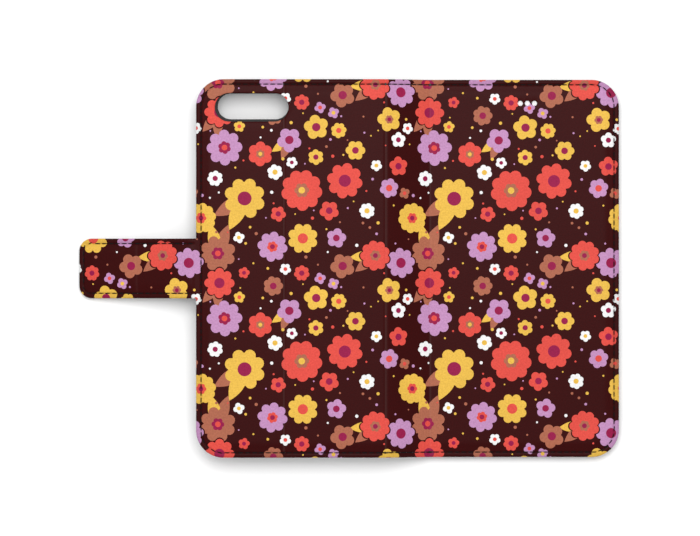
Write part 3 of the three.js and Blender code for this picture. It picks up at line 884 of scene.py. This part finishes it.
# Printed piece's name, its ends, its fold, holes, rings, bodies and nodes; then its lining's nodes
CASE_PIECES = [
    ("back", -BEYOND, MID_BACK, STAND_U, [pill.loop(1.2)], pill_rings, ("back_outer", "back_inner"),
     ("back_outer_skin", "back_inner_skin", "stand_fold_web", "stand_fold_web_top"),
     ("back_outer_lining", "back_inner_lining")),
    ("spine", MID_BACK, MID_SPINE, BACK_U, [], [], ("back_inner", "spine"),
     ("spine_skin", "spine_back_fold_web"), ("spine_lining",)),
    ("cover", MID_SPINE, WIDTH + BEYOND, FRONT_U, ear_holes, ear_rings, ("spine", "cover"),
     ("cover_skin", "spine_front_fold_web"), ("cover_lining",)),
]
for name, x0, x1, fold, holes, rings, bodies, skin_nodes, lining_nodes in CASE_PIECES:
    window = (x0, x1, -HALF - BEYOND, HALF + BEYOND)
    lines = leaf_lines([fold], x0, x1)
    top, bottom, wear_and_shade = case_shape
    skin = sheet_mesh(
        f"printed_{name}", case_strip, window, case_outline.loop(2.2), holes + [junction.loop(2.2)],
        rings_of(case_outline, RING_INSETS) + rings, lines, print_over(window, PRINT_ORIGIN),
        top=top, bottom=bottom, wear_and_shade=wear_and_shade,
    )
    finish_piece(skin, PRINTED, skin_nodes)
    bend(skin, case_strip, (*bodies, fold))
    top, bottom = case_lining
    inner = sheet_mesh(
        f"lining_{name}", case_strip, window, case_outline.inset(LINING_INSET).loop(2.2), holes,
        rings_of(case_outline, LINING_RINGS), lines, top=top, bottom=bottom,
    )
    finish_piece(inner, LINING, lining_nodes)
    bend(inner, case_strip, (*bodies, fold))

STRAP_PIECES = [
    ("strap_root", -SEAM_INSET, STRAP_LINING_FROM, MID_STRAP, STRAP_FOLD_U,
     ("back_outer", "strap_root"),
     ("strap_root_skin", "strap_fold_web"), ("strap_root_lining",)),
    ("strap_tip", MID_STRAP, MID_STRAP, STRAP_END_U + BEYOND, STRAP_TIP_U, ("strap_root", "strap_tip"),
     ("strap_tip_skin", "strap_tip_fold_web"), ("strap_tip_lining",)),
]
for name, x0, lining_x0, x1, fold, bodies, skin_nodes, lining_nodes in STRAP_PIECES:
    window = (x0, x1, -STRAP_HALF - BEYOND, STRAP_HALF + BEYOND)
    lines = leaf_lines([fold], x0, x1)
    lines += [x for x in JUNCTION_LINES if x0 < x < x1]
    prints = mirrored(print_over((-x1, -x0, window[2], window[3]), PRINT_ORIGIN))
    top, bottom, wear_and_shade = strap_shape
    skin = sheet_mesh(
        f"printed_{name}", strap_strip, window, strap_outline.loop(2.2), [],
        rings_of(strap_outline, RING_INSETS), sorted(set(lines)), prints, grid=1.6,
        top=top, bottom=bottom, wear_and_shade=wear_and_shade,
    )
    finish_piece(skin, PRINTED, skin_nodes)
    bend(skin, strap_strip, (*bodies, fold))
    top, bottom = strap_lining
    inner = sheet_mesh(
        f"lining_{name}", strap_strip, (lining_x0, *window[1:]),
        strap_outline.inset(LINING_INSET).loop(2.2), [],
        rings_of(strap_outline, LINING_RINGS), leaf_lines([fold], lining_x0, x1), top=top, bottom=bottom,
    )
    finish_piece(inner, LINING, lining_nodes)
    bend(inner, strap_strip, (*bodies, fold))


# ---------------------------------------------------------------- stitches
STITCH_SIDES = 8
STITCH_STEPS = 8


def closed_object(name, coords, faces):
    """A closed mesh object with its faces turned outwards."""
    mesh = bpy.data.meshes.new(name)
    mesh.from_pydata(coords, [], faces)
    fix = bmesh.new()
    fix.from_mesh(mesh)
    bmesh.ops.recalc_face_normals(fix, faces=fix.faces)
    fix.to_mesh(mesh)
    fix.free()
    obj = bpy.data.objects.new(name, mesh)
    bpy.context.scene.collection.objects.link(obj)
    return obj


def stitches(name, runs):
    """One arched stitch from each hole to the next, its ends sunk into the holes. A run is its
    strip, holes, pitch, the face's depth as a function, and 1 if the face looks down."""
    coords = []
    faces = []
    for strip, holes, pitch, face_depth, down in runs:
        out = 1 if down else -1
        for x, y, heading in holes:
            base = len(coords)
            for i in range(STITCH_STEPS + 1):
                t = i / STITCH_STEPS
                arch = math.sin(math.pi * t)
                along = (0.06 + 0.88 * t) * pitch
                px = x + along * math.cos(heading)
                py = y + along * math.sin(heading)
                radius = THREAD_RADIUS * (0.55 + 0.45 * arch ** 0.5)
                level = face_depth(px, py) + out * (0.42 * arch ** 0.6 - (0.34 if out < 0 else 0.36))
                for k in range(STITCH_SIDES):
                    a = 2 * math.pi * k / STITCH_SIDES
                    off = radius * math.cos(a)
                    coords.append(strip.point(
                        px - off * math.sin(heading), py + off * math.cos(heading),
                        level - 0.8 * radius * math.sin(a),
                    ))
            for i in range(STITCH_STEPS):
                for k in range(STITCH_SIDES):
                    a = base + i * STITCH_SIDES + k
                    b = base + i * STITCH_SIDES + (k + 1) % STITCH_SIDES
                    faces.append((a, b, b + STITCH_SIDES, a + STITCH_SIDES))
            faces.append(tuple(base + k for k in reversed(range(STITCH_SIDES))))
            faces.append(tuple(base + STITCH_STEPS * STITCH_SIDES + k for k in range(STITCH_SIDES)))
    obj = closed_object(name, coords, faces)
    obj.data.polygons.foreach_set("use_smooth", [True] * len(obj.data.polygons))
    obj.data.materials.append(THREAD)
    return obj


def flat_seam(crown):
    return lambda x, y: crown + GROOVE


case_seam = (case_strip, case_holes, case_pitch, flat_seam(CROWN), case_lining[1])
strap_seam = (strap_strip, strap_holes, strap_pitch, flat_seam(STRAP_CROWN), strap_lining[1])
SEAMS = [
    ("stitches_back", case_seam, -BEYOND, MID_BACK, ("back_outer", "back_inner", STAND_U),
     ("back_outer_thread", "back_inner_thread_top", "back_inner_thread_bottom")),
    ("stitches_spine", case_seam, MID_BACK, MID_SPINE, ("back_inner", "spine", BACK_U),
     ("spine_thread_top", "spine_thread_bottom")),
    ("stitches_cover", case_seam, MID_SPINE, WIDTH, ("spine", "cover", FRONT_U), ("cover_thread",)),
    ("stitches_strap_root", strap_seam, STRAP_SEAM_FROM, MID_STRAP,
     ("back_outer", "strap_root", STRAP_FOLD_U),
     ("strap_root_thread_top", "strap_root_thread_bottom")),
    ("stitches_strap_tip", strap_seam, MID_STRAP, STRAP_END_U, ("strap_root", "strap_tip", STRAP_TIP_U),
     ("strap_tip_thread",)),
]
for name, (strip, holes, pitch, upper, under), x0, x1, joined, nodes_for in SEAMS:
    near = [hole for hole in holes if x0 <= hole[0] + math.cos(hole[2]) * pitch / 2 < x1]
    seam = stitches(name, [(strip, near, pitch, upper, 0), (strip, near, pitch, under, 1)])
    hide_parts(*nodes_for)
    bend(seam, strip, joined)


# ---------------------------------------------------------------- pockets, pad and screen
def flat_rect(node, radius):
    """A node's outline in flat coordinates, and its top and bottom depths."""
    low, high = box_mm(node)
    on_cover = low.x > JOINTS["spine_front_fold"][0]
    shift = FRONT_U - JOINTS["spine_front_fold"][0] if on_cover else -LEFT
    face = COVER_Z if on_cover else FACE_Z
    rect = RoundedRect(low.x + shift, high.x + shift, low.y, high.y, radius)
    return rect, face - high.z, face - low.z


def flat_piece(name, node, body, material, radius, edge, relief=lambda x, y: 0.0):
    """A sheet with rounded edges in the space of a CAD node, pressed in on its lower face."""
    rect, top, bottom = flat_rect(node, radius)
    insets = [edge * share for share in (0.1, 0.3, 0.6, 1.0)] + [0.9, 1.2, 1.5, 1.8, 2.2]
    piece = sheet_mesh(
        name, case_strip, (rect.x0 - BEYOND, rect.x1 + BEYOND, rect.y0 - BEYOND, rect.y1 + BEYOND),
        rect.loop(2.0), rings=[rect.inset(d).loop(2.0) for d in insets],
        top=lambda x, y: top + 0.5 * round_over(rect.distance(x, y), edge),
        bottom=lambda x, y: bottom - 0.7 * round_over(rect.distance(x, y), edge) - relief(x, y),
    )
    finish_piece(piece, material, (node,))
    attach(piece, body)


POCKET_SEAM = 1.2
POCKET_CORNER = 3.0
POCKET_EDGE = 0.25
POCKET_STITCH_SINK = 0.12
CORNER_GAP = 2.0
POCKET_NODES = ("cash_pocket", "card_pocket_1", "card_pocket_2", "card_pocket_3")
pocket_runs = []
pocket_rects = []
for name in POCKET_NODES:
    rect, _, depth = flat_rect(name, POCKET_CORNER)

    def pocket_relief(x, y, rect=rect):
        """A creased line under the pocket's opening, and the seam's groove along its other sides."""
        crease = 0.14 * bell(rect.y1 - y - 1.5, 0.3)
        seam = 0.12 * bell(rect.distance(x, y) - POCKET_SEAM, 0.4) if y < rect.y1 - 2.0 else 0.0
        return crease + seam

    flat_piece(
        f"{name}_leather", name, "cover", LINING, POCKET_CORNER, POCKET_EDGE,
        pocket_relief,
    )
    pocket_rects.append((rect, depth))
for i, (rect, depth) in enumerate(pocket_rects):
    inset = rect.inset(POCKET_SEAM)
    covered_to = pocket_rects[i + 1][0].y1 if 0 < i < len(pocket_rects) - 1 else inset.y0 + CORNER_GAP
    count = max(int((rect.y1 - 2.2 - covered_to) / STITCH_PITCH), 1)
    rises = [(covered_to + STITCH_PITCH * k) for k in range(count)]
    holes = [(inset.x0, y, math.pi / 2) for y in rises] + [(inset.x1, y, math.pi / 2) for y in rises]
    if i in (0, len(pocket_rects) - 1):
        across = int((inset.x1 - inset.x0 - 2 * CORNER_GAP) / STITCH_PITCH)
        holes += [(inset.x0 + CORNER_GAP + STITCH_PITCH * k, inset.y0, 0.0) for k in range(across)]

    def pocket_level(x, y, depth=depth):
        return depth - POCKET_STITCH_SINK

    pocket_runs.append((case_strip, holes, STITCH_PITCH, pocket_level, 1))
pocket_seams = stitches("stitches_pockets", pocket_runs)
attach(pocket_seams, "cover")

flat_piece("tray_pad_foam", "tray_adhesive_pad", "back_outer", ADHESIVE, 3.0, 0.1)
flat_piece("earpiece_screen_weave", "earpiece_screen", "cover", SCREEN, 0.6, 0.06)


# ---------------------------------------------------------------- phone tray
def modified(obj, *modifiers):
    """Applies modifiers, given as a kind and its settings, to an object's own mesh."""
    for kind, settings in modifiers:
        modifier = obj.modifiers.new(kind.lower(), kind)
        for key, value in settings.items():
            setattr(modifier, key, value)
    bpy.context.view_layer.update()
    made = bpy.data.meshes.new_from_object(obj.evaluated_get(bpy.context.evaluated_depsgraph_get()))
    obj.modifiers.clear()
    obj.data = made


def stacked(name, loops):
    """A closed solid through loops of equally many points in mm, capped at both ends."""
    size = len(loops[0])
    coords = [(x * MM, y * MM, z * MM) for loop in loops for x, y, z in loop]
    faces = []
    for i in range(len(loops) - 1):
        for k in range(size):
            a, b = i * size + k, i * size + (k + 1) % size
            faces.append((a, b, b + size, a + size))
    faces.append(tuple(reversed(range(size))))
    faces.append(tuple((len(loops) - 1) * size + k for k in range(size)))
    return closed_object(name, coords, faces)


tray_low, tray_high = box_mm("phone_tray")
TRAY_WALL = 1.1
TRAY_FLOOR = 1.2
TRAY_LIP = 1.2
LIP_REACH = 1.0
TRAY_CORNER = 10.6
SLOT_RISE = 1.2
SLOT_HEIGHT = 4.8
VOLUME_SLOT = (44.0, 42.0)
POWER_SLOT = (40.0, 16.0)
PORT_SLOT_LENGTH = 46.0
CUT_IN = 3.1
CUT_OUT = 3.0
BACK_ROUND = 1.2
FOOT_ROUND = 0.8
LIP_EDGE_ROUND = 0.45
LIP_INNER_ROUND = 0.35
FLOOR_FILLET = 0.5
CAP_INSET = 3.0
TRAY_BEVEL = 0.22
tray_rect = RoundedRect(tray_low.x, tray_high.x, tray_low.y, tray_high.y, TRAY_CORNER)


def rounding(cx, cz, radius, start, end, count):
    """Points of a profile's rounding, as (inset, z), with angles in degrees."""
    turns = [math.radians(start + (end - start) * i / count) for i in range(count + 1)]
    return [(cx - radius * math.cos(a), cz + radius * math.sin(a)) for a in turns]


def tray_profile():
    """The wall's section as (inset, z): over the back's edge, down outside, round the lip, up inside."""
    back = tray_high.z
    floor_z = back - TRAY_FLOOR
    mouth = TRAY_WALL + LIP_REACH
    return [
        (CAP_INSET, back),
        *rounding(BACK_ROUND, back - BACK_ROUND, BACK_ROUND, 90, 0, 5),
        (0.0, back / 2),
        *rounding(FOOT_ROUND, FOOT_ROUND, FOOT_ROUND, 0, -90, 5),
        *rounding(mouth - LIP_EDGE_ROUND, LIP_EDGE_ROUND, LIP_EDGE_ROUND, -90, -180, 5),
        *rounding(mouth - LIP_INNER_ROUND, TRAY_LIP - LIP_INNER_ROUND, LIP_INNER_ROUND, 180, 90, 5),
        (TRAY_WALL, TRAY_LIP),
        (TRAY_WALL, floor_z - FLOOR_FILLET),
        *rounding(TRAY_WALL + FLOOR_FILLET, floor_z - FLOOR_FILLET, FLOOR_FILLET, 22.5, 90, 3),
        (CAP_INSET, floor_z),
    ]


def cutter(name, rect, place, low, high):
    """A rounded slot through the tray: place turns the flat (x, y) and a height into a point."""
    return stacked(name, [[place(x, y, h) for x, y in rect.loop(2.0, 8)] for h in (low, high)])


tray = stacked("phone_tray_shell", [
    [(x, y, z) for x, y in tray_rect.inset(d).loop(6.0, 12)] for d, z in tray_profile()
])
floor_z = tray_high.z - TRAY_FLOOR
slot_z = floor_z - SLOT_RISE - SLOT_HEIGHT / 2
slot_half = SLOT_HEIGHT / 2
middle_x = (tray_low.x + tray_high.x) / 2
tray_pill = RoundedRect(
    LEFT + CAMERA["x0"] - TRAY_WINDOW["grow"] + TRAY_WINDOW["x"],
    LEFT + CAMERA["x1"] + TRAY_WINDOW["grow"] + TRAY_WINDOW["x"],
    CAMERA["y0"] - TRAY_WINDOW["grow"] + TRAY_WINDOW["y"],
    CAMERA["y1"] + TRAY_WINDOW["grow"] + TRAY_WINDOW["y"],
    (CAMERA["y1"] - CAMERA["y0"]) / 2 + TRAY_WINDOW["grow"],
)


def side_slot(centre, length):
    return RoundedRect(
        centre - length / 2, centre + length / 2, slot_z - slot_half, slot_z + slot_half, slot_half - 0.01
    )


def through_side(x, y, h):
    return h, x, y


cutters = [
    cutter("cut_camera", tray_pill, lambda x, y, h: (x, y, h), floor_z - 1, tray_high.z + 1),
    cutter("cut_volume", side_slot(*VOLUME_SLOT), through_side, tray_high.x - CUT_IN, tray_high.x + CUT_OUT),
    cutter("cut_power", side_slot(*POWER_SLOT), through_side, tray_low.x - CUT_OUT, tray_low.x + CUT_IN),
    cutter(
        "cut_port", side_slot(middle_x, PORT_SLOT_LENGTH), lambda x, y, h: (x, h, y),
        tray_low.y - CUT_OUT, tray_low.y + CUT_IN,
    ),
]
modified(
    tray,
    *[("BOOLEAN", {"object": item, "operation": "DIFFERENCE", "solver": "EXACT"}) for item in cutters],
    ("BEVEL", {
        "width": TRAY_BEVEL * MM, "segments": 2, "limit_method": "ANGLE", "angle_limit": math.radians(50),
    }),
)
for item in cutters:
    bpy.data.objects.remove(item)
tray.data.polygons.foreach_set("use_smooth", [True] * len(tray.data.polygons))
tray.data.set_sharp_from_angle(angle=math.radians(40))
tray.data.materials.clear()
tray.data.materials.append(RUBBER)
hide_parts("phone_tray")
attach(tray, "back_outer")

# ---------------------------------------------------------------- floor, light and camera
floor_mesh = bpy.data.meshes.new("floor")
FLOOR_REACH = 4.0
FLOOR_DROP = 0.0002
floor_mesh.from_pydata(
    [(x * FLOOR_REACH, y * FLOOR_REACH, -FLOOR_DROP) for x, y in ((-1, -1), (1, -1), (1, 1), (-1, 1))],
    [], [(0, 1, 2, 3)],
)
floor = bpy.data.objects.new("floor", floor_mesh)
bpy.context.scene.collection.objects.link(floor)
floor_material, _, _, floor_shader = new_material("floor")
floor_shader.inputs["Base Color"].default_value = (0.95, 0.95, 0.95, 1)
floor_shader.inputs["Roughness"].default_value = 0.9
floor_mesh.materials.append(floor_material)

CAD_MATERIALS = {
    "back_outer_board": GREYBOARD, "back_inner_board": GREYBOARD, "cover_board": GREYBOARD,
    "strap_root_core": STIFFENER, "strap_tip_core": STIFFENER, "strap_anchor_tab": STIFFENER,
    "cover_steel_plate": STEEL, "strap_magnet": STEEL,
}
for name, cad_material in CAD_MATERIALS.items():
    frame["nodes"][name].data.materials.clear()
    frame["nodes"][name].data.materials.append(cad_material)


KEY_POWER = 3.115
SKY = 0.877


def area_light(name, location, target, size, power):
    data = bpy.data.lights.new(name, "AREA")
    data.shape = "RECTANGLE"
    data.size, data.size_y = size
    data.energy = power
    light = bpy.data.objects.new(name, data)
    light.location = location
    light.rotation_euler = (Vector(target) - Vector(location)).to_track_quat("-Z", "Y").to_euler()
    bpy.context.scene.collection.objects.link(light)


area_light("key", (0.0, 0.22, 0.7), (0, 0, 0), (0.5, 0.4), KEY_POWER)
world = bpy.data.worlds.new("studio")
bpy.context.scene.world = world
world.use_nodes = True
world.node_tree.nodes["Background"].inputs["Color"].default_value = (1, 1, 1, 1)
world.node_tree.nodes["Background"].inputs["Strength"].default_value = SKY

# The camera looks straight down, with the case's camera end at the top.
VIEW_WIDTH = 0.3048
DISTANCE = 2.0
camera_data = bpy.data.cameras.new("camera")
camera_data.sensor_width = 36.0
camera_data.lens = 36.0 * DISTANCE / VIEW_WIDTH
camera = bpy.data.objects.new("camera", camera_data)
camera.location = (0.0006, 0.0002, DISTANCE + FACE_Z * MM)
bpy.context.scene.collection.objects.link(camera)
bpy.context.scene.camera = camera
bpy.context.scene.view_settings.view_transform = "Standard"
